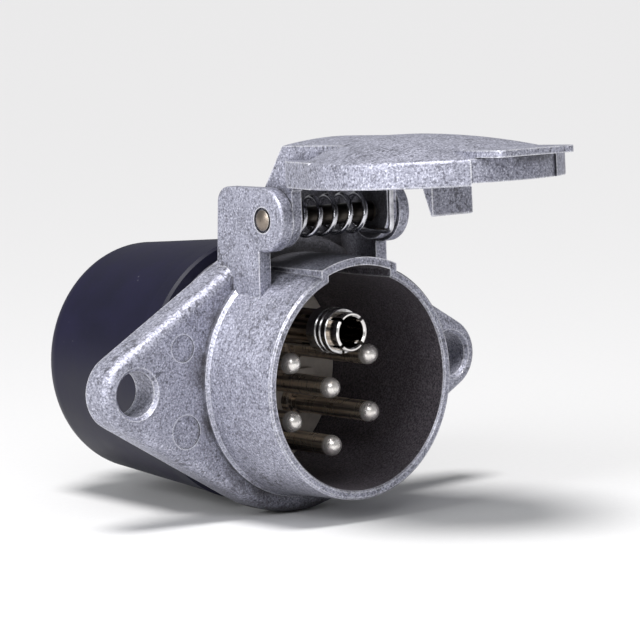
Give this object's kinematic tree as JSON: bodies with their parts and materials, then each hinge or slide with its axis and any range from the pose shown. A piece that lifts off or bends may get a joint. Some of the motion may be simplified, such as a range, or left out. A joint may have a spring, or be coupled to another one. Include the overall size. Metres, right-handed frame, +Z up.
{
  "type": "trailer socket",
  "caption": "Round metal trailer wiring connector with a two-hole diamond flange, keyed mouth with contact pins, sprung hinged lid standing open and a rubber boot behind.",
  "frame": {"origin": "barrel axis on the flange's back (mounting) face, midway between the two bolt holes", "axes": "-Y out of the mouth, +Y towards the rubber boot, +Z up through the keyway to the lid hinge, +X to the right seen from the front"},
  "size_m": [0.095, 0.1339, 0.0761],
  "materials": {
    "cast_aluminium": "die-cast, matt with bright worn edges",
    "seal_rubber": "matt",
    "pin_steel": "plain steel",
    "spring_steel": "drawn spring wire",
    "carrier_plastic": "moulded insulating plastic",
    "contact_nickel": "bright nickel plate",
    "terminal_brass": "turned brass",
    "boot_rubber": "smooth moulded rubber, satin"
  },
  "bodies": {
    "socket": {"housing": "cast_aluminium", "hinge_pin": "pin_steel", "torsion_spring": "spring_steel", "contact_carrier": "carrier_plastic", "carrier_gasket": "seal_rubber", "retaining_ring": "spring_steel", "contact_pin_1": "contact_nickel", "contact_pin_2": "contact_nickel", "contact_pin_3": "contact_nickel", "contact_pin_4": "contact_nickel", "contact_pin_5": "contact_nickel", "contact_pin_6": "contact_nickel", "tube_contact": "contact_nickel", "tube_sleeve": "spring_steel", "terminal_1": "terminal_brass", "terminal_2": "terminal_brass", "terminal_3": "terminal_brass", "terminal_4": "terminal_brass", "terminal_5": "terminal_brass", "terminal_6": "terminal_brass", "terminal_7": "terminal_brass", "terminal_screws": "pin_steel", "rear_boot": "boot_rubber"},
    "lid": {"lid": "cast_aluminium", "lid_seal": "seal_rubber"}
  },
  "joints": [
    {"name": "lid_hinge", "type": "hinge", "parent": "socket", "child": "lid", "pos_m": [0, -0.01625, 0.0321], "axis": [1, 0, 0], "range_deg": [-68, 92], "deforming": ["torsion_spring"]}
  ]
}
